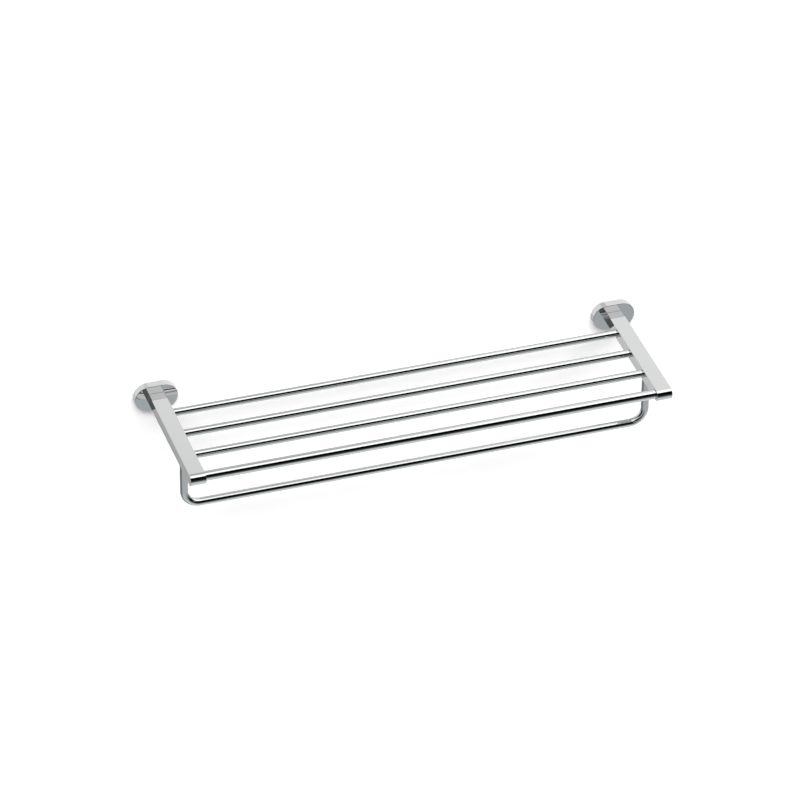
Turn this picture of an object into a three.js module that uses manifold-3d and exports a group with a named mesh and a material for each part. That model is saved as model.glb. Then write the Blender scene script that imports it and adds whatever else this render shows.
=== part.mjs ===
import * as THREE from 'three';
import { mergeVertices } from 'three/addons/utils/BufferGeometryUtils.js';
import Module from 'manifold-3d';

const wasm = await Module();
wasm.setup();

// Towel rack with shelf, in millimetres. +Z is up, the wall is the plane Y = 0, and -Y faces the room.
// The origin is on the wall, midway between the two roses, at the height of the arms' centre lines.

// Overall layout
const mountSpacing = 600;      // between the centres of the two roses
const frontRodReach = 186;     // wall to the centre of the front rod
const rearRodReach = 46;       // wall to the centre of the first rod
const shelfRodCount = 3;       // thin rods behind the front rod
const railDrop = 80;           // from the arms' centre line down to the towel rail's
const railBendRadius = 20;     // at the centre line of the bent rail

// Bars
const shelfRodDiameter = 10;
const frontRodDiameter = 12;
const railDiameter = 10;
const tubeWall = 1.2;          // the rods and the rail are tubes
const rodEndChamfer = 0.5;

// Arms
const armWidth = 20;
const armCover = 1.75;         // metal above and below the front rod
const noseLead = 2;            // the round nose's centre is this far ahead of the front rod
const armChamfer = 0.4;
const rodSocketDepth = 7;
const legSocketDepth = 11;
const legWeb = 1.2;            // between a rail leg and the third rod
const armScrewBite = 13;       // length of screw inside the arm

// Roses
const roseWidth = 55;
const roseHeight = 37;
const roseWall = 3;
const roseFace = 2.6;
const roseEdgeRadius = 0.8;
const innerEdgeRadius = 1.2;

// Wall brackets: a shallow tray under each rose
const bracketBase = 2;
const bracketWall = 2;
const bracketClearance = 0.4;
const bracketRoom = 0.7;       // between the tray's edge and the inside of the rose's face
const slotWidth = 5.5;         // for a 5 mm wall screw
const slotLength = 9;
const slotEdge = 7.5;          // from the slot's centre to the tray's inner end
const drainWidth = 6;          // notches in the tray's lower wall let water out
const drainWeb = 4.2;          // between a notch and the hole for the set screw

// Screws that hold an arm to its rose
const screwDiameter = 5;
const screwHeadDiameter = 8.5;
const screwHeadHeight = 2.8;
const screwSocketFlats = 3;
const screwSocketDepth = 1.7;
const screwTipChamfer = 0.7;
const headRoom = 0.9;          // between a screw head and the bracket
const washerDiameter = 9;
const washerThickness = 0.8;
const washerWeb = 1.2;         // between the two washers

// Set screw under each rose
const setScrewDiameter = 3;
const setScrewSocketFlats = 1.5;
const setScrewSocketDepth = 1.6;
const setScrewInset = 0.3;     // how far it sits below the rose's edge
const setScrewTipDiameter = 2;
const setScrewTipLength = 1;

const seatGap = 0.3;           // between pieces that touch
const overrun = 1;             // how far a cutting shape passes the face that it opens
const weldTolerance = 0.00001; // corners nearer than this are one corner

const roundSides = 32;         // round a rod or the rail
const smallSides = 20;         // round a screw
const bendSteps = 12;          // along each bend of the rail
const noseSteps = 16;          // round an arm's nose
const endSteps = 18;           // along one round end of a rose
const edgeSteps = 3;           // across a rose's rounded edge

// Sizes that follow from the ones above
const armHeight = frontRodDiameter + armCover + armCover;
const armReach = frontRodReach + noseLead;
const halfSpan = mountSpacing / 2;
const armInnerX = halfSpan - armWidth / 2;
const rodPitch = (frontRodReach - rearRodReach) / shelfRodCount;
const lastShelfRodReach = frontRodReach - rodPitch;
const railReach = lastShelfRodReach - (shelfRodDiameter + railDiameter) / 2 - legWeb;
const screwStack = seatGap + washerThickness + seatGap + screwHeadHeight;
const roseDepth = bracketBase + headRoom + screwStack + roseFace;
const roseCavity = roseDepth - roseFace;
const bracketDepth = roseCavity - bracketRoom;
const armBack = roseDepth + seatGap;
const screwSpacing = washerDiameter + washerWeb;
const screwShoulder = roseCavity - seatGap - washerThickness - seatGap;
const lockReach = (bracketBase + bracketDepth) / 2;

// Plain solids from three.js geometries

function solidOf(geometry) {
  const plain = geometry.index ? geometry.toNonIndexed() : geometry.clone();
  plain.deleteAttribute('normal');
  plain.deleteAttribute('uv');
  const merged = mergeVertices(plain, weldTolerance);
  return new wasm.Manifold(new wasm.Mesh({
    numProp: 3,
    vertProperties: new Float32Array(merged.attributes.position.array),
    triVerts: new Uint32Array(merged.index.array),
  }));
}

function geometryOf(solid) {
  const mesh = solid.getMesh();
  const geometry = new THREE.BufferGeometry();
  geometry.setAttribute('position', new THREE.BufferAttribute(new Float32Array(mesh.vertProperties), 3));
  geometry.setIndex(new THREE.BufferAttribute(new Uint32Array(mesh.triVerts), 1));
  geometry.computeVertexNormals();
  return geometry;
}

// A cylinder from start to end along the given axis.
function bar(axis, start, end, diameter, sides) {
  const geometry = new THREE.CylinderGeometry(diameter / 2, diameter / 2, end - start, sides);
  geometry.translate(0, (start + end) / 2, 0);
  if (axis === 'x') geometry.rotateZ(-Math.PI / 2);
  if (axis === 'z') geometry.rotateX(Math.PI / 2);
  return geometry;
}

// A turned piece: the profile's points are [radius, place along the axis]. A solid piece's profile runs from
// the axis back to the axis, and a hollow one's closes on itself.
function turned(profile, sides) {
  const points = profile.map(([radius, along]) => new THREE.Vector2(radius, along));
  return new THREE.LatheGeometry(points, sides);
}

function hexagon(flats, start, end) {
  return bar('y', start, end, flats / Math.cos(Math.PI / 6), 6);
}

// A rose's outline as points: two half circles joined by straight lines, inset from the full size.
function oblong(width, height, inset) {
  const radius = height / 2 - inset;
  const offset = (width - height) / 2;
  const points = [];
  for (const side of [1, -1]) {
    for (let i = 0; i <= endSteps; i += 1) {
      const angle = side * (-Math.PI / 2 + Math.PI * i / endSteps);
      points.push([side * offset + side * radius * Math.cos(angle), radius * Math.sin(angle)]);
    }
  }
  return points;
}

// A closed solid through outlines that lie one behind the other, each [distance from the wall, inset].
function lofted(width, height, rings) {
  const outlines = rings.map(([reach, inset]) => {
    return oblong(width, height, inset).map(([x, z]) => [x, -reach, z]);
  });
  const count = outlines[0].length;
  const positions = outlines.flat(2);
  const indices = [];
  for (let ring = 0; ring + 1 < outlines.length; ring += 1) {
    for (let i = 0; i < count; i += 1) {
      const here = ring * count + i;
      const next = ring * count + (i + 1) % count;
      indices.push(here, next, next + count, here, next + count, here + count);
    }
  }
  const last = (outlines.length - 1) * count;
  for (let i = 1; i + 1 < count; i += 1) {
    indices.push(0, i + 1, i);
    indices.push(last, last + i, last + i + 1);
  }
  const geometry = new THREE.BufferGeometry();
  geometry.setAttribute('position', new THREE.Float32BufferAttribute(positions, 3));
  geometry.setIndex(indices);
  return geometry;
}

// Rings that round off the front edge of a lofted solid.
function roundedFront(reach, inset, radius) {
  const rings = [];
  for (let i = 0; i <= edgeSteps; i += 1) {
    const angle = Math.PI / 2 * i / edgeSteps;
    rings.push([reach - radius + radius * Math.sin(angle), inset + radius - radius * Math.cos(angle)]);
  }
  return rings;
}

function cutAll(body, cutters) {
  return cutters.reduce((left, cutter) => left.subtract(solidOf(cutter)), body);
}

// Rose: a hollow oblong cover whose face carries the arm

function roseCover() {
  const shell = solidOf(lofted(roseWidth, roseHeight, [
    [0, 0],
    ...roundedFront(roseDepth, 0, roseEdgeRadius),
  ]));
  const hollow = lofted(roseWidth, roseHeight, [
    [-overrun, roseWall],
    ...roundedFront(roseCavity, roseWall, innerEdgeRadius),
  ]);
  const screwHoles = [-1, 1].map((side) => {
    const hole = bar('y', -roseDepth - overrun, -roseCavity + overrun,
      screwDiameter + 2 * seatGap, smallSides);
    return hole.translate(side * screwSpacing / 2, 0, 0);
  });
  const lockHole = bar('z', -roseHeight / 2 - overrun, -roseHeight / 2 + roseWall + overrun,
    setScrewDiameter + 2 * seatGap, smallSides);
  lockHole.translate(0, -lockReach, 0);
  return geometryOf(cutAll(shell, [hollow, ...screwHoles, lockHole]));
}

// Wall bracket: a tray screwed to the wall through two slots, which the rose slides over

function slot(x) {
  const straight = slotLength - slotWidth;
  const shape = new THREE.Shape();
  shape.absarc(straight / 2, 0, slotWidth / 2, -Math.PI / 2, Math.PI / 2, false);
  shape.absarc(-straight / 2, 0, slotWidth / 2, Math.PI / 2, Math.PI * 3 / 2, false);
  const depth = bracketBase + 2 * overrun;
  const geometry = new THREE.ExtrudeGeometry(shape, {
    depth,
    bevelEnabled: false,
    curveSegments: smallSides / 4,
  });
  return geometry.rotateX(Math.PI / 2).translate(x, overrun, 0);
}

function wallBracket() {
  const inset = roseWall + bracketClearance;
  const tray = solidOf(lofted(roseWidth, roseHeight, [[0, inset], [bracketDepth, inset]]));
  const well = lofted(roseWidth, roseHeight, [
    [bracketBase, inset + bracketWall],
    [bracketDepth + overrun, inset + bracketWall],
  ]);
  const innerEnd = roseWidth / 2 - inset - bracketWall;
  const slots = [-1, 1].map((side) => slot(side * (innerEnd - slotEdge)));
  const lowerEdge = -roseHeight / 2 + inset;
  const lockHole = bar('z', lowerEdge - overrun, lowerEdge + bracketWall + overrun,
    setScrewDiameter + 2 * seatGap, smallSides);
  lockHole.translate(0, -lockReach, 0);
  const notchDepth = bracketDepth - bracketBase;
  const notchX = setScrewDiameter / 2 + seatGap + drainWeb + drainWidth / 2;
  const notches = [-1, 1].map((side) => {
    const notch = new THREE.BoxGeometry(drainWidth, notchDepth + overrun, bracketWall + 2 * overrun);
    return notch.translate(side * notchX, -bracketBase - (notchDepth + overrun) / 2,
      lowerEdge + bracketWall / 2);
  });
  return geometryOf(cutAll(tray, [well, ...slots, lockHole, ...notches]));
}

// Arm: a flat bar with a round nose, sockets for the rods on its inner side and one for the rail leg below

function arm(side) {
  const length = armReach - armBack;
  const profile = new THREE.Shape();
  profile.moveTo(0, -armHeight / 2);
  profile.lineTo(length, -armHeight / 2);
  profile.absarc(length, 0, armHeight / 2, -Math.PI / 2, Math.PI / 2, false);
  profile.lineTo(0, armHeight / 2);
  profile.closePath();
  const blank = new THREE.ExtrudeGeometry(profile, {
    depth: armWidth - 2 * armChamfer,
    bevelSize: armChamfer,
    bevelThickness: armChamfer,
    bevelOffset: -armChamfer,
    bevelSegments: 1,
    curveSegments: noseSteps / 2,
  });
  const across = new THREE.Vector3(0, -1, 0);
  const up = new THREE.Vector3(0, 0, 1);
  blank.applyMatrix4(new THREE.Matrix4().makeBasis(across, up, new THREE.Vector3(-1, 0, 0)));
  blank.translate(armWidth / 2 - armChamfer, -armBack, 0);

  const innerFace = -side * armWidth / 2;
  const mouth = innerFace - side * overrun;
  const floor = innerFace + side * rodSocketDepth;
  const cutters = rodPlaces().map(({ reach, diameter }) => {
    const socket = bar('x', Math.min(mouth, floor), Math.max(mouth, floor),
      diameter + 2 * seatGap, roundSides);
    return socket.translate(0, -reach, 0);
  });
  const legSocket = bar('z', -armHeight / 2 - overrun, -armHeight / 2 + legSocketDepth,
    railDiameter + 2 * seatGap, roundSides);
  cutters.push(legSocket.translate(0, -railReach, 0));
  for (const place of [-1, 1]) {
    const hole = bar('y', -armBack - armScrewBite - seatGap, -armBack + overrun,
      screwDiameter + 2 * seatGap, smallSides);
    cutters.push(hole.translate(place * screwSpacing / 2, 0, 0));
  }
  return geometryOf(cutAll(solidOf(blank), cutters));
}

// Rods and rail

function rodPlaces() {
  const places = [];
  for (let i = 0; i < shelfRodCount; i += 1) {
    const reach = rearRodReach + rodPitch * i;
    places.push({ reach, diameter: shelfRodDiameter, name: `shelf_rod_${i + 1}` });
  }
  places.push({ reach: frontRodReach, diameter: frontRodDiameter, name: 'front_rod' });
  return places;
}

function rod(diameter) {
  const halfLength = armInnerX + rodSocketDepth - seatGap;
  const radius = diameter / 2;
  const bore = radius - tubeWall;
  return turned([
    [bore, -halfLength],
    [radius - rodEndChamfer, -halfLength],
    [radius, -halfLength + rodEndChamfer],
    [radius, halfLength - rodEndChamfer],
    [radius - rodEndChamfer, halfLength],
    [bore, halfLength],
    [bore, -halfLength],
  ], roundSides).rotateZ(-Math.PI / 2);
}

// The bent rail's centre line. Its stations are the two leg tops and evenly spaced points round each bend.
class RailPath extends THREE.Curve {
  stations() {
    const legTop = -armHeight / 2 + legSocketDepth - seatGap;
    const cornerX = halfSpan - railBendRadius;
    const cornerZ = -railDrop + railBendRadius;
    const points = [[-halfSpan, legTop, -Math.PI / 2]];
    for (const side of [-1, 1]) {
      for (let i = 0; i <= bendSteps; i += 1) {
        const share = i / bendSteps;
        const heading = side < 0 ? -Math.PI / 2 * (1 - share) : Math.PI / 2 * share;
        points.push([
          side * cornerX + railBendRadius * Math.sin(heading),
          cornerZ - railBendRadius * Math.cos(heading),
          heading,
        ]);
      }
    }
    points.push([halfSpan, legTop, Math.PI / 2]);
    return points;
  }

  station(share) {
    const all = this.stations();
    return all[Math.round(share * (all.length - 1))];
  }

  getPointAt(share) {
    const [x, z] = this.station(share);
    return new THREE.Vector3(x, 0, z);
  }

  getTangentAt(share) {
    const heading = this.station(share)[2];
    return new THREE.Vector3(Math.cos(heading), 0, Math.sin(heading));
  }

  getPoint(share) {
    return this.getPointAt(share);
  }
}

function towelRail() {
  const path = new RailPath();
  const section = new THREE.Shape();
  section.absarc(0, 0, railDiameter / 2, 0, Math.PI * 2, false);
  const bore = new THREE.Path();
  bore.absarc(0, 0, railDiameter / 2 - tubeWall, 0, Math.PI * 2, true);
  section.holes.push(bore);
  return new THREE.ExtrudeGeometry(section, {
    steps: path.stations().length - 1,
    extrudePath: path,
    curveSegments: roundSides / 2,
  });
}

// Screws and washers

function armScrew() {
  const radius = screwDiameter / 2;
  const tip = screwShoulder + seatGap + washerThickness + seatGap + roseFace + seatGap + armScrewBite;
  const body = turned([
    [0, -tip],
    [radius - screwTipChamfer, -tip],
    [radius, -tip + screwTipChamfer],
    [radius, -screwShoulder],
    [screwHeadDiameter / 2, -screwShoulder],
    [screwHeadDiameter / 2, -screwShoulder + screwHeadHeight],
    [0, -screwShoulder + screwHeadHeight],
  ], smallSides);
  const headTop = -screwShoulder + screwHeadHeight;
  const socket = hexagon(screwSocketFlats, headTop - screwSocketDepth, headTop + overrun);
  return geometryOf(cutAll(solidOf(body), [socket]));
}

function washer() {
  const back = -roseCavity + seatGap;
  const hole = screwDiameter / 2 + seatGap;
  return turned([
    [hole, back],
    [washerDiameter / 2, back],
    [washerDiameter / 2, back + washerThickness],
    [hole, back + washerThickness],
    [hole, back],
  ], smallSides);
}

function setScrew() {
  const radius = setScrewDiameter / 2;
  const start = -roseHeight / 2 + setScrewInset;
  const end = -roseHeight / 2 + roseWall + bracketClearance + bracketWall;
  const body = turned([
    [0, start],
    [radius, start],
    [radius, end - setScrewTipLength],
    [setScrewTipDiameter / 2, end - setScrewTipLength],
    [setScrewTipDiameter / 2, end],
    [0, end],
  ], smallSides);
  const socket = hexagon(setScrewSocketFlats, start - overrun, start + setScrewSocketDepth);
  return geometryOf(cutAll(solidOf(body), [socket])).rotateX(Math.PI / 2);
}

// Finishes

function chrome() {
  return new THREE.MeshStandardMaterial({ color: 0xd6d9dc, roughness: 0.06, metalness: 1 });
}

function zincPlate() {
  return new THREE.MeshStandardMaterial({ color: 0xb4b8bb, roughness: 0.42, metalness: 0.9 });
}

function stainless() {
  return new THREE.MeshStandardMaterial({ color: 0xa9acae, roughness: 0.3, metalness: 1 });
}

function piece(name, geometry, material, place = [0, 0, 0]) {
  const mesh = new THREE.Mesh(geometry, material);
  mesh.name = name;
  mesh.position.set(...place);
  return mesh;
}

// One side of the rack: rose, bracket, arm and the screws that join them

function sideAssembly(label, side) {
  const assembly = new THREE.Group();
  assembly.position.set(side * halfSpan, 0, 0);
  const mounting = new THREE.Group();
  mounting.add(piece(`wall_bracket_${label}`, wallBracket(), zincPlate()));
  mounting.add(piece(`rose_cover_${label}`, roseCover(), chrome()));
  mounting.add(piece(`rose_set_screw_${label}`, setScrew(), stainless(), [0, -lockReach, 0]));
  assembly.add(mounting);
  assembly.add(piece(`arm_${label}`, arm(side), chrome()));
  for (const [position, where] of [['outer', side], ['inner', -side]]) {
    const place = [where * screwSpacing / 2, 0, 0];
    assembly.add(piece(`arm_screw_${label}_${position}`, armScrew(), stainless(), place));
    assembly.add(piece(`arm_washer_${label}_${position}`, washer(), stainless(), place));
  }
  return assembly;
}

const rack = new THREE.Group();
rack.add(sideAssembly('left', -1));
rack.add(sideAssembly('right', 1));
for (const { name, reach, diameter } of rodPlaces()) {
  rack.add(piece(name, rod(diameter), chrome(), [0, -reach, 0]));
}
rack.add(piece('towel_rail', towelRail(), chrome(), [0, -railReach, 0]));

export default rack;
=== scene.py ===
import math

import bpy
import numpy as np
from mathutils import Matrix, Vector


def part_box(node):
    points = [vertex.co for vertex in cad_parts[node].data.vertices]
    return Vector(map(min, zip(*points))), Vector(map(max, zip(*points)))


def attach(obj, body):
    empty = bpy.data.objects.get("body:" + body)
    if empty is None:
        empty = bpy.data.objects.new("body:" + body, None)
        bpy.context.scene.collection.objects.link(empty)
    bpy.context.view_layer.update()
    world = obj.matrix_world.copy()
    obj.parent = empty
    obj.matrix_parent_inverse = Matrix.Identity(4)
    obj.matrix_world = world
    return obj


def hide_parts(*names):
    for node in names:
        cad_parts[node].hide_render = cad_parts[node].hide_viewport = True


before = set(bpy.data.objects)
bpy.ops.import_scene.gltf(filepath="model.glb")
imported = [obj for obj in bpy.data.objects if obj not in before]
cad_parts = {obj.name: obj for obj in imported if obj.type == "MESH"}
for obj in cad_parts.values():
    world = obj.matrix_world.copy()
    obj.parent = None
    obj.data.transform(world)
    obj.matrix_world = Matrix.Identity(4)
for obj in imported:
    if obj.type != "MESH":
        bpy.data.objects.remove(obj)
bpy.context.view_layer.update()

scene = bpy.context.scene
millimetre = 0.001
wholeTurn = 2 * math.pi
quarterTurn = math.pi / 2
print("frame loaded:", len(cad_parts), "nodes")

# Camera, solved from the photograph's straight edges. The shifts put the optical axis on a pixel's middle.
cameraSetup = {
    "position": (-1.7215, -5.2849, 3.7863),
    "azimuth": -18.24,
    "elevation": 34.769,
    "roll": 0.426,
    "lens": 242.03,
    "sensor": 36.0,
    "shiftX": -0.000625,
    "shiftY": 0.000625,
    "farthest": 50.0,
}


def placeCamera(setup):
    azimuth, elevation, roll = (math.radians(setup[key]) for key in ("azimuth", "elevation", "roll"))
    back = Vector((math.sin(azimuth) * math.cos(elevation),
                   -math.cos(azimuth) * math.cos(elevation),
                   math.sin(elevation)))
    level = Vector((math.cos(azimuth), math.sin(azimuth), 0))
    upright = back.cross(level)
    right = level * math.cos(roll) + upright * math.sin(roll)
    up = upright * math.cos(roll) - level * math.sin(roll)
    data = bpy.data.cameras.new("photoCamera")
    data.lens = setup["lens"]
    data.sensor_width = setup["sensor"]
    data.shift_x = setup["shiftX"]
    data.shift_y = setup["shiftY"]
    data.clip_end = setup["farthest"]
    camera = bpy.data.objects.new("photoCamera", data)
    turn = Matrix((right, up, back)).transposed().to_4x4()
    camera.matrix_world = Matrix.Translation(setup["position"]) @ turn
    scene.collection.objects.link(camera)
    scene.camera = camera


placeCamera(cameraSetup)
print("camera placed")


# Node trees. A value may be a number, a colour or the output of another node.

def feed(tree, socket, value):
    if isinstance(value, (int, float)):
        socket.default_value = value
    elif isinstance(value, tuple):
        socket.default_value = (*value, 1)
    else:
        tree.links.new(value, socket)


def addNode(tree, kind, **values):
    node = tree.nodes.new(kind)
    for name, value in values.items():
        setattr(node, name, value)
    return node


def compute(tree, operation, *values):
    node = addNode(tree, "ShaderNodeMath", operation=operation)
    for socket, value in zip(node.inputs, values):
        feed(tree, socket, value)
    return node.outputs[0]


def rescale(tree, value, fromLow, fromHigh, toLow, toHigh, curve="LINEAR"):
    node = addNode(tree, "ShaderNodeMapRange", clamp=True, interpolation_type=curve)
    for socket, number in zip(node.inputs, (value, fromLow, fromHigh, toLow, toHigh)):
        feed(tree, socket, number)
    return node.outputs[0]


mixSockets = {"FLOAT": (0, 2, 3, 0), "RGBA": (0, 6, 7, 2)}    # the factor, the two inputs and the result


def blend(tree, kind, factor, first, second):
    node = addNode(tree, "ShaderNodeMix", data_type=kind)
    *places, result = mixSockets[kind]
    for place, value in zip(places, (factor, first, second)):
        feed(tree, node.inputs[place], value)
    return node.outputs[result]


def chooseShader(tree, factor, first, second):
    # The first shader shows where the factor is 0, the second where it is 1.
    node = addNode(tree, "ShaderNodeMixShader")
    feed(tree, node.inputs[0], factor)
    feed(tree, node.inputs[1], first.outputs[0])
    feed(tree, node.inputs[2], second.outputs[0])
    return node


# Studio: what the polished metal reflects, by direction. X is sideways, Y into the wall and Z up, each
# from -1 to 1. The azimuth is 0 towards the room and 90 to the right, and angles are in degrees. Each
# form lies over the ones before it: the pale wall, a dim strip high on it, the bright sky, the dark room
# below a sloping edge, the first patches, the floor and the last patches. Two small cards lie over all,
# where the corners between arm and rose look. Only metal seen in other metal shows them and the glow.
studio = {
    "wallTone": 1.12,
    "wallRight": 0.10,                    # added at the right end and taken off at the left
    "stripTone": 0.57,
    "stripLow": 38,                       # elevations between which the strip lies
    "stripHigh": 82,
    "stripSoft": 5,
    "stripEnd": 0.257,                    # sideways direction where it ends
    "stripEndSoft": 0.025,
    "skyTone": 1.79,
    "skyRight": 0.80,
    "skyFrom": -0.23,                     # inward directions over which it fades into the wall
    "skyTo": 0.39,
    "roomTone": 0.004,
    "edgeRise": 0.255,                    # the edge is where Z + slope * Y is the rise
    "edgeSlope": 0.98,
    "edgeSoft": 0.05,
    "roomFrom": 0.385,                    # inward directions over which the room gives way to the wall
    "roomTo": 0.70,
    "floorTone": 0.61,
    "floorRight": 0.12,
    "floorHigh": -0.32,                   # times Z, so the floor is brightest straight down
    "floorZ": -0.46,
    "floorSoft": 0.34,
    "mirroredFrom": 1.5,                  # past so many glossy bounces, metal is seen in other metal
    "cardAngle": 35.6,                    # round the X axis, up or down from level
    "cardHalf": 0.6,
    "cardAngleSoft": 0.25,
    "cardX": 0.255,                       # right for the pale card above, left for the dark one below
    "cardHalfX": 0.065,
    "cardSoftX": 0.015,
    "paleCardTone": 1.35,
    "darkCardTone": 0.17,
    "floorTint": (0.92, 1.0, 1.04),
    "skyTint": (1.0, 1.0, 1.0),
    "tintLow": -0.45,                     # heights Z over which the floor's tint ends
    "tintHigh": -0.15,
    "tintInward": -0.45,                  # inward direction past which there is none
    "tintSoft": 0.2,
    "fill": 0.378,                        # even light on matt surfaces
}

# Patches of the studio. Each lies within half of its azimuth, and between its low and high elevations. Its
# sides fade over soft, and its two ends over edge. The first three limits are just past straight down,
# straight up and all round.
pastDown, pastUp, allRound = -95, 95, 181
patchesUnderFloor = {
    "lowWall": dict(tone=0.48, azimuth=165, half=14, soft=5, low=-50, high=19, edge=4),
    "horizon": dict(tone=0.045, azimuth=15, half=6, soft=2, low=-20, high=2, edge=6),
    "ceiling": dict(tone=1.15, azimuth=0, half=allRound, soft=0.5, low=81, high=pastUp, edge=3),
    "leftFlag": dict(tone=0.06, azimuth=-90, half=16, soft=4, low=pastDown, high=66, edge=4),
    "leftWindow": dict(tone=0.45, azimuth=-43, half=15, soft=8, low=pastDown, high=38, edge=6),
    "frontWindow": dict(tone=0.35, azimuth=0, half=7, soft=3, low=pastDown, high=30, edge=5),
    "rightWindow": dict(tone=0.30, azimuth=45, half=9, soft=4, low=6, high=26, edge=4),
    "rightEndWindow": dict(tone=0.42, azimuth=94, half=12, soft=5, low=pastDown, high=16, edge=6),
}
patchesOverFloor = {
    "dimLeft": dict(tone=0.20, azimuth=-112, half=32, soft=26, low=pastDown, high=-20, edge=10),
    "glow": dict(tone=1.25, azimuth=140, half=42, soft=10, low=-48, high=21, edge=10),
    "shade": dict(tone=0.48, azimuth=-169, half=7, soft=4, low=pastDown, high=-18, edge=14),
}
halfCircle = 180.0


def fading(tree, value, start, end):
    # 1 before the start and 0 past the end.
    return rescale(tree, value, start, end, 1.0, 0.0, "SMOOTHSTEP")


def beneath(tree, value, edge, soft):
    return fading(tree, value, edge - soft, edge + soft)


def above(tree, value, edge, soft):
    return rescale(tree, value, edge - soft, edge + soft, 0.0, 1.0, "SMOOTHSTEP")


def layOver(tree, below, tone, *masks):
    # below + mask * (tone - below), where the masks are multiplied together.
    mask = masks[0]
    for other in masks[1:]:
        mask = compute(tree, "MULTIPLY", mask, other)
    return blend(tree, "FLOAT", mask, below, tone)


def layPatch(tree, below, patch, azimuth, elevation, *masks):
    # The azimuth is taken the short way round.
    turned = compute(tree, "SUBTRACT", azimuth, patch["azimuth"])
    away = compute(tree, "ABSOLUTE", compute(tree, "WRAP", turned, halfCircle, -halfCircle))
    return layOver(tree, below, patch["tone"], beneath(tree, away, patch["half"], patch["soft"]),
                   above(tree, elevation, patch["low"], patch["edge"]),
                   beneath(tree, elevation, patch["high"], patch["edge"]), *masks)


def near(tree, value, middle, half, soft):
    # 1 within half of the middle.
    away = compute(tree, "ABSOLUTE", compute(tree, "SUBTRACT", value, middle))
    return beneath(tree, away, half, soft)


def studioTone(tree, setup, sideways, inward, high, bounces):
    outward = compute(tree, "MULTIPLY", inward, -1.0)
    azimuth = compute(tree, "DEGREES", compute(tree, "ARCTAN2", sideways, outward))
    angle = compute(tree, "DEGREES", compute(tree, "ARCTAN2", high, outward))
    elevation = compute(tree, "DEGREES", compute(tree, "ARCSINE", high))
    mirrored = compute(tree, "GREATER_THAN", bounces, setup["mirroredFrom"])

    wall = compute(tree, "MULTIPLY_ADD", sideways, setup["wallRight"], setup["wallTone"])
    tone = layOver(tree, wall, setup["stripTone"],
                   above(tree, elevation, setup["stripLow"], setup["stripSoft"]),
                   beneath(tree, elevation, setup["stripHigh"], setup["stripSoft"]),
                   beneath(tree, sideways, setup["stripEnd"], setup["stripEndSoft"]))
    sky = compute(tree, "MULTIPLY_ADD", sideways, setup["skyRight"], setup["skyTone"])
    tone = layOver(tree, tone, sky, fading(tree, inward, setup["skyFrom"], setup["skyTo"]))
    slopeHeight = compute(tree, "MULTIPLY_ADD", inward, setup["edgeSlope"], high)
    tone = layOver(tree, tone, setup["roomTone"],
                   beneath(tree, slopeHeight, setup["edgeRise"], setup["edgeSoft"]),
                   fading(tree, inward, setup["roomFrom"], setup["roomTo"]))

    for patch in patchesUnderFloor.values():
        tone = layPatch(tree, tone, patch, azimuth, elevation)
    floor = compute(tree, "MULTIPLY_ADD", high, setup["floorHigh"], setup["floorTone"])
    floor = compute(tree, "MULTIPLY_ADD", sideways, setup["floorRight"], floor)
    tone = layOver(tree, tone, floor, beneath(tree, high, setup["floorZ"], setup["floorSoft"]))
    tone = layPatch(tree, tone, patchesOverFloor["dimLeft"], azimuth, elevation)
    tone = layPatch(tree, tone, patchesOverFloor["glow"], azimuth, elevation, mirrored)
    tone = layPatch(tree, tone, patchesOverFloor["shade"], azimuth, elevation)

    for card, side in (("paleCardTone", 1), ("darkCardTone", -1)):
        byAngle = near(tree, angle, side * setup["cardAngle"], setup["cardHalf"], setup["cardAngleSoft"])
        byX = near(tree, sideways, side * setup["cardX"], setup["cardHalfX"], setup["cardSoftX"])
        tone = layOver(tree, tone, setup[card], byAngle, byX, mirrored)
    return tone


def addBackground(tree, colour, strength=1.0):
    node = addNode(tree, "ShaderNodeBackground")
    feed(tree, node.inputs["Color"], colour)
    feed(tree, node.inputs["Strength"], strength)
    return node


def buildWorld(setup):
    # The metal sees the studio, matt surfaces get an even light, and the camera sees plain white.
    world = bpy.data.worlds.new("studio")
    scene.world = world
    world.use_nodes = True
    tree = world.node_tree
    tree.nodes.clear()
    direction = addNode(tree, "ShaderNodeSeparateXYZ")
    feed(tree, direction.inputs[0], addNode(tree, "ShaderNodeTexCoord").outputs["Generated"])
    sideways, inward, high = direction.outputs
    path = addNode(tree, "ShaderNodeLightPath")
    tone = studioTone(tree, setup, sideways, inward, high, path.outputs["Glossy Depth"])
    # The metal's reflections don't light the wall, so the shadows beside the roses stay dark.
    fromMatt = compute(tree, "MINIMUM", path.outputs["Diffuse Depth"], 1.0)
    untinted = compute(tree, "MAXIMUM",
                       rescale(tree, high, setup["tintLow"], setup["tintHigh"], 0.0, 1.0),
                       above(tree, inward, setup["tintInward"], setup["tintSoft"]))
    tint = blend(tree, "RGBA", untinted, setup["floorTint"], setup["skyTint"])
    inMetal = addBackground(tree, tint, layOver(tree, tone, 0.0, fromMatt))
    onMatt = addBackground(tree, (setup["fill"],) * 3)
    toCamera = addBackground(tree, (1.0, 1.0, 1.0))
    light = chooseShader(tree, path.outputs["Is Glossy Ray"], onMatt, inMetal)
    seen = chooseShader(tree, path.outputs["Is Camera Ray"], light, toCamera)
    feed(tree, addNode(tree, "ShaderNodeOutputWorld").inputs["Surface"], seen.outputs[0])


lampSetup = {
    "width": 6.0,
    "height": 1.6,
    "position": (0.1, -2.35, 2.9),        # it faces the origin
    "watts": 191.5,
}


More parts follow.
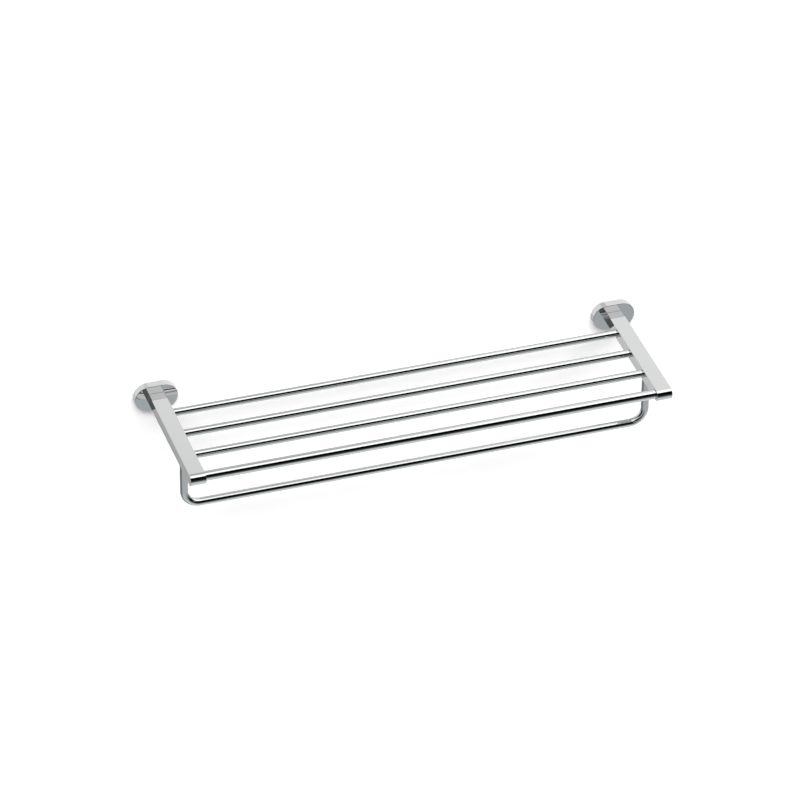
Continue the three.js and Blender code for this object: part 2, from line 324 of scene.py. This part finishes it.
def hangLamp(setup):
    data = bpy.data.lights.new("softLamp", "AREA")
    data.shape = "RECTANGLE"
    data.size = setup["width"]
    data.size_y = setup["height"]
    data.energy = setup["watts"]
    lamp = bpy.data.objects.new("softLamp", data)
    lamp.location = setup["position"]
    lamp.rotation_euler = Vector(setup["position"]).to_track_quat("Z", "Y").to_euler()
    lamp.visible_camera = False
    lamp.visible_glossy = False
    scene.collection.objects.link(lamp)


# Wall and floor. Both are seen from the room only, and the wall is open behind each rose.
stageSetup = {
    "wallY": 0.3 * millimetre,            # just behind the backs of the brackets
    "floorZ": -0.62,
    "reach": 3.0,
    "wallPaint": (0.80, 0.80, 0.80),
    "floorPaint": (0.50, 0.50, 0.50),     # as matt surfaces see it, so it lifts the shadows little
    "seenWall": (1.21, 1.21, 1.21),       # as the camera sees them, so that only shadows are below white
    "seenFloor": (1.92, 1.92, 1.92),
    "holeMargin": 0.3 * millimetre,
}


def behindRoses(tree, margin):
    # 1 within half a rose's height, less the margin, of the line between the middles of its round ends.
    low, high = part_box("rose_cover_right")
    roseX = (low.x + high.x) / 2
    radius = (high.z - low.z) / 2
    straight = (high.x - low.x) / 2 - radius
    point = addNode(tree, "ShaderNodeSeparateXYZ")
    feed(tree, point.inputs[0], addNode(tree, "ShaderNodeTexCoord").outputs["Object"])
    x, _, z = point.outputs
    fromRose = compute(tree, "SUBTRACT", compute(tree, "ABSOLUTE", x), roseX)
    pastStraight = compute(tree, "SUBTRACT", compute(tree, "ABSOLUTE", fromRose), straight)
    sideways = compute(tree, "MAXIMUM", pastStraight, 0.0)
    squares = compute(tree, "ADD", compute(tree, "MULTIPLY", sideways, sideways),
                      compute(tree, "MULTIPLY", z, z))
    return compute(tree, "LESS_THAN", squares, (radius - margin) ** 2)


def stagePaint(name, paint, seenPaint, holeMargin=None):
    # The paint is clear from behind and, with a margin given, behind the roses.
    material = bpy.data.materials.new(name)
    material.use_nodes = True
    tree = material.node_tree
    tree.nodes.clear()
    cameraRay = addNode(tree, "ShaderNodeLightPath").outputs["Is Camera Ray"]
    surface = addNode(tree, "ShaderNodeBsdfDiffuse")
    feed(tree, surface.inputs["Color"], blend(tree, "RGBA", cameraRay, paint, seenPaint))
    clear = addNode(tree, "ShaderNodeNewGeometry").outputs["Backfacing"]
    if holeMargin is not None:
        clear = compute(tree, "MAXIMUM", behindRoses(tree, holeMargin), clear)
    choice = chooseShader(tree, clear, surface, addNode(tree, "ShaderNodeBsdfTransparent"))
    feed(tree, addNode(tree, "ShaderNodeOutputMaterial").inputs["Surface"], choice.outputs[0])
    return material


def stagePlane(name, corners, material):
    mesh = bpy.data.meshes.new(name)
    mesh.from_pydata(corners, [], [(0, 1, 2, 3)])
    mesh.materials.append(material)
    plane = bpy.data.objects.new(name, mesh)
    scene.collection.objects.link(plane)
    plane.visible_glossy = False


def buildStage(setup):
    reach, floor, wall = setup["reach"], setup["floorZ"], setup["wallY"]
    wallPaint = stagePaint("wallPaint", setup["wallPaint"], setup["seenWall"], setup["holeMargin"])
    stagePlane("studioWall", [(-reach, wall, floor), (reach, wall, floor), (reach, wall, reach),
                              (-reach, wall, reach)], wallPaint)
    floorPaint = stagePaint("floorPaint", setup["floorPaint"], setup["seenFloor"])
    stagePlane("studioFloor", [(-reach, -reach, floor), (reach, -reach, floor), (reach, wall, floor),
                               (-reach, wall, floor)], floorPaint)


buildWorld(studio)
hangLamp(lampSetup)
buildStage(stageSetup)
print("studio and stage built")


# Finishes. Noise between the first two limits gives the whole spread of roughness, and between the last
# two the whole way from dark to light.
noiseSetup = {
    "smudgeDetail": 4.0,
    "waveDetail": 2.0,
    "roughnessFrom": 0.3,
    "roughnessTo": 0.7,
    "colourFrom": 0.35,
    "colourTo": 0.65,
}
chromeFinish = {
    "colour": (0.60, 0.605, 0.605),
    "roughness": 0.012,
    "roughnessSpread": 0.02,
    "smudgeScale": 38.0,
    "waveScale": 40.0,
    "waveHeight": 0.004 * millimetre,
}
zincFinish = {
    "dark": (0.36, 0.38, 0.39),
    "light": (0.55, 0.57, 0.58),
    "roughness": 0.34,
    "roughnessSpread": 0.16,
    "smudgeScale": 240.0,
    "waveScale": 900.0,
    "waveHeight": 0.02 * millimetre,
}
steelFinish = {
    "dark": (0.40, 0.40, 0.40),
    "light": (0.52, 0.52, 0.52),
    "roughness": 0.2,
    "roughnessSpread": 0.12,
    "smudgeScale": 500.0,
    "waveScale": 1500.0,
    "waveHeight": 0.01 * millimetre,
}


def mottled(tree, point, scale, detail):
    noise = addNode(tree, "ShaderNodeTexNoise")
    feed(tree, noise.inputs["Vector"], point)
    feed(tree, noise.inputs["Scale"], scale)
    feed(tree, noise.inputs["Detail"], detail)
    return noise.outputs[0]


def metalMaterial(name, finish, noise):
    # Smudges change the roughness, and low waves bend the reflections a little.
    material = bpy.data.materials.new(name)
    material.use_nodes = True
    tree = material.node_tree
    surface = tree.nodes["Principled BSDF"]
    feed(tree, surface.inputs["Metallic"], 1.0)
    point = addNode(tree, "ShaderNodeTexCoord").outputs["Object"]
    smudges = mottled(tree, point, finish["smudgeScale"], noise["smudgeDetail"])
    smooth = finish["roughness"]
    roughness = rescale(tree, smudges, noise["roughnessFrom"], noise["roughnessTo"],
                        smooth, smooth + finish["roughnessSpread"])
    feed(tree, surface.inputs["Roughness"], roughness)
    bump = addNode(tree, "ShaderNodeBump")
    feed(tree, bump.inputs["Distance"], finish["waveHeight"])
    feed(tree, bump.inputs["Height"], mottled(tree, point, finish["waveScale"], noise["waveDetail"]))
    feed(tree, surface.inputs["Normal"], bump.outputs[0])
    return material, surface, smudges


def chromeMaterial(finish, noise):
    material, surface, _ = metalMaterial("polishedChrome", finish, noise)
    feed(material.node_tree, surface.inputs["Base Color"], finish["colour"])
    return material


def mottledMetal(name, finish, noise):
    material, surface, smudges = metalMaterial(name, finish, noise)
    tree = material.node_tree
    share = rescale(tree, smudges, noise["colourFrom"], noise["colourTo"], 0.0, 1.0)
    feed(tree, surface.inputs["Base Color"], blend(tree, "RGBA", share, finish["dark"], finish["light"]))
    return material


chrome = chromeMaterial(chromeFinish, noiseSetup)
zincPlate = mottledMetal("zincPlate", zincFinish, noiseSetup)
stainless = mottledMetal("turnedStainless", steelFinish, noiseSetup)
print("finishes made")


# Mesh making. A surface is a grid of points, rows by columns, that closes on itself across the columns.

def gridFaces(rows, columns, rowsClose):
    # A face joins a point to the next one in its row, and those two to their neighbours in the next row.
    row, column = np.meshgrid(np.arange(rows if rowsClose else rows - 1), np.arange(columns), indexing="ij")
    nextRow, nextColumn = (row + 1) % rows, (column + 1) % columns
    corners = (row * columns + column, row * columns + nextColumn,
               nextRow * columns + nextColumn, nextRow * columns + column)
    return np.stack(corners, axis=-1).reshape(-1, 4)


def surfaceMesh(name, grid, rowsClose=False):
    # Unless the rows close on themselves too, a flat face covers the first row and another the last.
    rows, columns = grid.shape[:2]
    faces = gridFaces(rows, columns, rowsClose).tolist()
    if not rowsClose:
        ring = np.arange(columns)
        faces.append(ring[::-1].tolist())
        faces.append((ring + (rows - 1) * columns).tolist())
    mesh = bpy.data.meshes.new(name)
    mesh.from_pydata(grid.reshape(-1, 3).tolist(), [], faces)
    return mesh


def enclosedVolume(mesh):
    # A sixth of the sum of first . (second x third) over the triangles' corners, and below 0 where the
    # faces point inwards.
    mesh.calc_loop_triangles()
    corner = np.empty(len(mesh.vertices) * 3)
    mesh.vertices.foreach_get("co", corner)
    index = np.empty(len(mesh.loop_triangles) * 3, dtype=np.int32)
    mesh.loop_triangles.foreach_get("vertices", index)
    first, second, third = corner.reshape(-1, 3)[index.reshape(-1, 3)].transpose(1, 0, 2)
    return float((first * np.cross(second, third)).sum() / 6)


def solid(name, grid, rowsClose=False):
    mesh = surfaceMesh(name, grid, rowsClose)
    if enclosedVolume(mesh) < 0:
        mesh.flip_normals()
    thing = bpy.data.objects.new(name, mesh)
    scene.collection.objects.link(thing)
    return thing


def bake(thing):
    # What the modifiers make becomes the mesh.
    evaluated = thing.evaluated_get(bpy.context.evaluated_depsgraph_get())
    finished = bpy.data.meshes.new_from_object(evaluated)
    thing.modifiers.clear()
    thing.data = finished


def cutAway(thing, cutters):
    for cutter in cutters:
        cut = thing.modifiers.new("cut", "BOOLEAN")
        cut.operation = "DIFFERENCE"
        cut.solver = "EXACT"
        cut.object = cutter
    bake(thing)
    for cutter in cutters:
        bpy.data.objects.remove(cutter)


shadingSetup = {
    "sharpAngle": math.radians(35),
    "largeFaceWeight": 100,
}


def finishPiece(thing, node, setup=shadingSetup):
    # Large faces set the shading of the rounded edges beside them, so flat faces reflect as flat mirrors.
    mesh = thing.data
    mesh.polygons.foreach_set("use_smooth", [True] * len(mesh.polygons))
    mesh.set_sharp_from_angle(angle=setup["sharpAngle"])
    weighted = thing.modifiers.new("faceShading", "WEIGHTED_NORMAL")
    weighted.mode = "FACE_AREA"
    weighted.weight = setup["largeFaceWeight"]
    weighted.keep_sharp = True
    bake(thing)
    thing.data.materials.clear()
    thing.data.materials.append(chrome)
    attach(thing, "root")
    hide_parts(node)


# Rods and rail: tubes along a path in an upright plane.
tubeSetup = {
    "sides": 128,
    "wall": 1.2 * millimetre,
    "endChamfer": 0.5 * millimetre,
    "bendRadius": 20 * millimetre,
    "bendSteps": 64,
}


def tubeGrid(centres, headings, radius, setup):
    # A point is centre + radius * (cos(turn) * outward + sin(turn) * across). The centres run along the
    # outside, where the radius is less by the chamfer at both ends, and then back along the bore.
    chamfer = setup["endChamfer"]
    tangents = np.stack((np.cos(headings), np.zeros_like(headings), np.sin(headings)), axis=-1)
    across = np.stack((-np.sin(headings), np.zeros_like(headings), np.cos(headings)), axis=-1)
    outward = np.array((0.0, -1.0, 0.0))
    nearStart = centres[:1] + chamfer * tangents[:1]
    nearEnd = centres[-1:] - chamfer * tangents[-1:]
    outerCentres = np.concatenate((centres[:1], nearStart, centres[1:-1], nearEnd, centres[-1:]))
    outerAcross = np.concatenate((across[:1], across, across[-1:]))
    outerRadii = np.full(len(outerCentres), radius)
    outerRadii[[0, -1]] -= chamfer
    allCentres = np.concatenate((outerCentres, centres[::-1]))
    allAcross = np.concatenate((outerAcross, across[::-1]))
    allRadii = np.concatenate((outerRadii, np.full(len(centres), radius - setup["wall"])))
    turn = np.linspace(0, wholeTurn, setup["sides"], endpoint=False)
    circle = np.cos(turn)[None, :, None] * outward + np.sin(turn)[None, :, None] * allAcross[:, None, :]
    return allCentres[:, None, :] + allRadii[:, None, None] * circle


def makeRod(node, name, setup):
    low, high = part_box(node)
    middle = (low + high) / 2
    centres = np.array([(low.x, middle.y, middle.z), (high.x, middle.y, middle.z)])
    headings = np.zeros(len(centres))
    rod = solid(name, tubeGrid(centres, headings, (high.z - low.z) / 2, setup), rowsClose=True)
    finishPiece(rod, node)


def makeRail(node, name, setup):
    # The path is two upright legs, two quarter circles and the level rail between them. On a quarter
    # circle a point is corner + bend * (sin(heading), -cos(heading)), with the corner at its middle.
    low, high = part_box(node)
    radius = (high.y - low.y) / 2
    bend = setup["bendRadius"]
    cornerX = high.x - radius - bend
    cornerZ = low.z + radius + bend
    quarter = np.linspace(0, quarterTurn, setup["bendSteps"] + 1)
    heading = np.concatenate(((-quarterTurn,), quarter - quarterTurn, quarter, (quarterTurn,)))
    side = np.repeat((-1.0, 1.0), len(heading) // 2)
    x = side * cornerX + bend * np.sin(heading)
    z = cornerZ - bend * np.cos(heading)
    z[[0, -1]] = high.z
    y = np.full_like(x, (low.y + high.y) / 2)
    rail = solid(name, tubeGrid(np.stack((x, y, z), axis=-1), heading, radius, setup), rowsClose=True)
    finishPiece(rail, node)


for number in (1, 2, 3):
    makeRod(f"shelf_rod_{number}", f"shelfRod{number}", tubeSetup)
makeRod("front_rod", "frontRod", tubeSetup)
makeRail("towel_rail", "towelRail", tubeSetup)
print("rods and rail made")


# Cutters for the sockets and the holes

def turnedCutter(name, origin, axis, profile, sides):
    # The profile gives places along the axis and their radii. A point is
    # origin + place * axis + radius * (cos(turn) * first + sin(turn) * second).
    place, radius = np.array(profile).T
    direction = Vector(axis)
    first = direction.orthogonal().normalized()
    second = direction.cross(first)
    turn = np.linspace(0, wholeTurn, sides, endpoint=False)
    circle = np.cos(turn)[:, None] * np.array(first) + np.sin(turn)[:, None] * np.array(second)
    centres = np.array(origin) + place[:, None] * np.array(direction)
    return solid(name, centres[:, None, :] + radius[:, None, None] * circle[None, :, :])


def socketCutter(name, origin, axis, radius, depth, setup):
    # A blind socket with a small lead-in chamfer. The origin is on the face, and the axis points out.
    lead, clear = setup["socketLead"], setup["overrun"]
    profile = [(-depth, radius), (-lead, radius), (clear, radius + lead + clear)]
    return turnedCutter(name, origin, axis, profile, setup["sides"])


# Arms: the outline of a flat bar with a round nose, carried across the arm's width with rounded edges.
armSetup = {
    "noseSteps": 64,
    "edgeRadius": 0.5 * millimetre,
    "edgeSteps": 5,
    "rodSocket": 7 * millimetre,          # depths of the sockets
    "legSocket": 11 * millimetre,
    "screwHole": 13.3 * millimetre,
    "screwHoleRadius": 2.8 * millimetre,
    "seat": 0.12 * millimetre,            # left round a rod or leg in its socket
    "socketLead": 0.15 * millimetre,
    "overrun": 0.5 * millimetre,          # how far a cutter stands out of the face
    "sides": 96,
}


def armGrid(low, high, setup):
    # Where the edge has turned by a, the outline is r(1 - sin a) smaller, at r(1 - cos a) from the side.
    half = (high.z - low.z) / 2
    noseY = low.y + half
    radius = setup["edgeRadius"]
    turn = np.linspace(0, quarterTurn, setup["edgeSteps"] + 1)
    inset = np.concatenate((radius * (1 - np.sin(turn)), radius * (1 - np.sin(turn[::-1]))))
    x = np.concatenate((low.x + radius * (1 - np.cos(turn)), high.x - radius * (1 - np.cos(turn[::-1]))))
    sweep = np.linspace(-quarterTurn, quarterTurn, setup["noseSteps"] + 1)
    size = (half - inset)[:, None]
    noseRing = np.stack((noseY - size * np.cos(sweep), size * np.sin(sweep)), axis=-1)
    backY = (high.y - inset)[:, None]
    backRing = np.stack((np.repeat(backY, 2, axis=1), size * np.array((1.0, -1.0))), axis=-1)
    ring = np.concatenate((noseRing, backRing), axis=1)
    across = np.broadcast_to(x[:, None, None], (*ring.shape[:2], 1))
    return np.concatenate((across, ring), axis=-1)


def makeArm(side, label, setup):
    low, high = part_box(f"arm_{label}")
    innerX = low.x if side > 0 else high.x
    arm = solid(f"arm{label.capitalize()}", armGrid(low, high, setup))
    cutters = []
    for node in ("shelf_rod_1", "shelf_rod_2", "shelf_rod_3", "front_rod"):
        rodLow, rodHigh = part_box(node)
        middle = (rodLow + rodHigh) / 2
        radius = (rodHigh.z - rodLow.z) / 2 + setup["seat"]
        cutters.append(socketCutter(f"socket_{node}", (innerX, middle.y, middle.z), (-side, 0, 0),
                                    radius, setup["rodSocket"], setup))
    railLow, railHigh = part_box("towel_rail")
    legRadius = (railHigh.y - railLow.y) / 2
    legX = side * (railHigh.x - legRadius)
    cutters.append(socketCutter("socketLeg", (legX, (railLow.y + railHigh.y) / 2, low.z), (0, 0, -1),
                                legRadius + setup["seat"], setup["legSocket"], setup))
    for place in ("outer", "inner"):
        screwLow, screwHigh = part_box(f"arm_screw_{label}_{place}")
        middle = (screwLow + screwHigh) / 2
        cutters.append(socketCutter(f"socket_{place}", (middle.x, high.y, middle.z), (0, 1, 0),
                                    setup["screwHoleRadius"], setup["screwHole"], setup))
    cutAway(arm, cutters)
    finishPiece(arm, f"arm_{label}")


for side, label in ((-1, "left"), (1, "right")):
    makeArm(side, label, armSetup)
print("arms made")


# Roses: the oblong outline carried along the section of a shell that is open at the back.
roseSetup = {
    "endSteps": 96,
    "wall": 3 * millimetre,
    "face": 2.6 * millimetre,
    "edgeRadius": 0.8 * millimetre,
    "innerRadius": 1.2 * millimetre,
    "edgeSteps": 8,
    "screwHoleRadius": 2.8 * millimetre,
    "lockHoleRadius": 1.8 * millimetre,
    "lockHoleLead": 0.25 * millimetre,
    "overrun": 0.5 * millimetre,
    "holeSides": 64,
}


def roseGrid(low, high, setup):
    # A point of the outline is the middle of the round end + (half the height - inset) * (cos, sin).
    half = (high.z - low.z) / 2
    endX = (high.x - low.x) / 2 - half
    middleX = (low.x + high.x) / 2
    faceY, innerY = low.y, low.y + setup["face"]
    outer, inner, wall = setup["edgeRadius"], setup["innerRadius"], setup["wall"]
    turn = np.linspace(0, quarterTurn, setup["edgeSteps"] + 1)
    y = np.concatenate((faceY + outer * (1 - np.cos(turn)), (0.0, 0.0),
                        innerY + inner * (1 - np.cos(turn[::-1]))))
    inset = np.concatenate((outer * (1 - np.sin(turn)), (0.0, wall),
                            wall + inner * (1 - np.sin(turn[::-1]))))
    sweep = np.linspace(-quarterTurn, quarterTurn, setup["endSteps"] + 1)
    size = (half - inset)[:, None]
    rightEnd = np.stack((endX + size * np.cos(sweep), size * np.sin(sweep)), axis=-1)
    ring = np.concatenate((rightEnd, -rightEnd), axis=1)
    depth = np.broadcast_to(y[:, None], ring.shape[:2])
    return np.stack((middleX + ring[..., 0], depth, ring[..., 1]), axis=-1)


def makeRose(label, setup):
    # Two screw holes go through the face, and one for the set screw through the lower rim.
    low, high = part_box(f"rose_cover_{label}")
    rose = solid(f"rose{label.capitalize()}", roseGrid(low, high, setup))
    clear, sides, lead = setup["overrun"], setup["holeSides"], setup["lockHoleLead"]
    radius = setup["screwHoleRadius"]
    profile = [(-clear, radius), (setup["face"] + clear, radius)]
    cutters = []
    for place in ("outer", "inner"):
        screwLow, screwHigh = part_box(f"arm_screw_{label}_{place}")
        middle = (screwLow + screwHigh) / 2
        origin = (middle.x, low.y, middle.z)
        cutters.append(turnedCutter(f"hole_{place}", origin, (0, 1, 0), profile, sides))
    lockLow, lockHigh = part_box(f"rose_set_screw_{label}")
    middle = (lockLow + lockHigh) / 2
    radius = setup["lockHoleRadius"]
    profile = [(-clear, radius + lead + clear), (lead, radius), (setup["wall"] + clear, radius)]
    origin = (middle.x, middle.y, low.z)
    cutters.append(turnedCutter("holeLock", origin, (0, 0, 1), profile, sides))
    cutAway(rose, cutters)
    finishPiece(rose, f"rose_cover_{label}")


for label in ("left", "right"):
    makeRose(label, roseSetup)
print("roses made")


# The fixings behind the roses keep their solids and take finishes of their own.
for node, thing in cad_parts.items():
    if node.startswith("wall_bracket"):
        finish = zincPlate
    elif "screw" in node or "washer" in node:
        finish = stainless
    else:
        continue
    thing.data.materials.clear()
    thing.data.materials.append(finish)
print("fixings finished")

scene.view_settings.view_transform = "Standard"
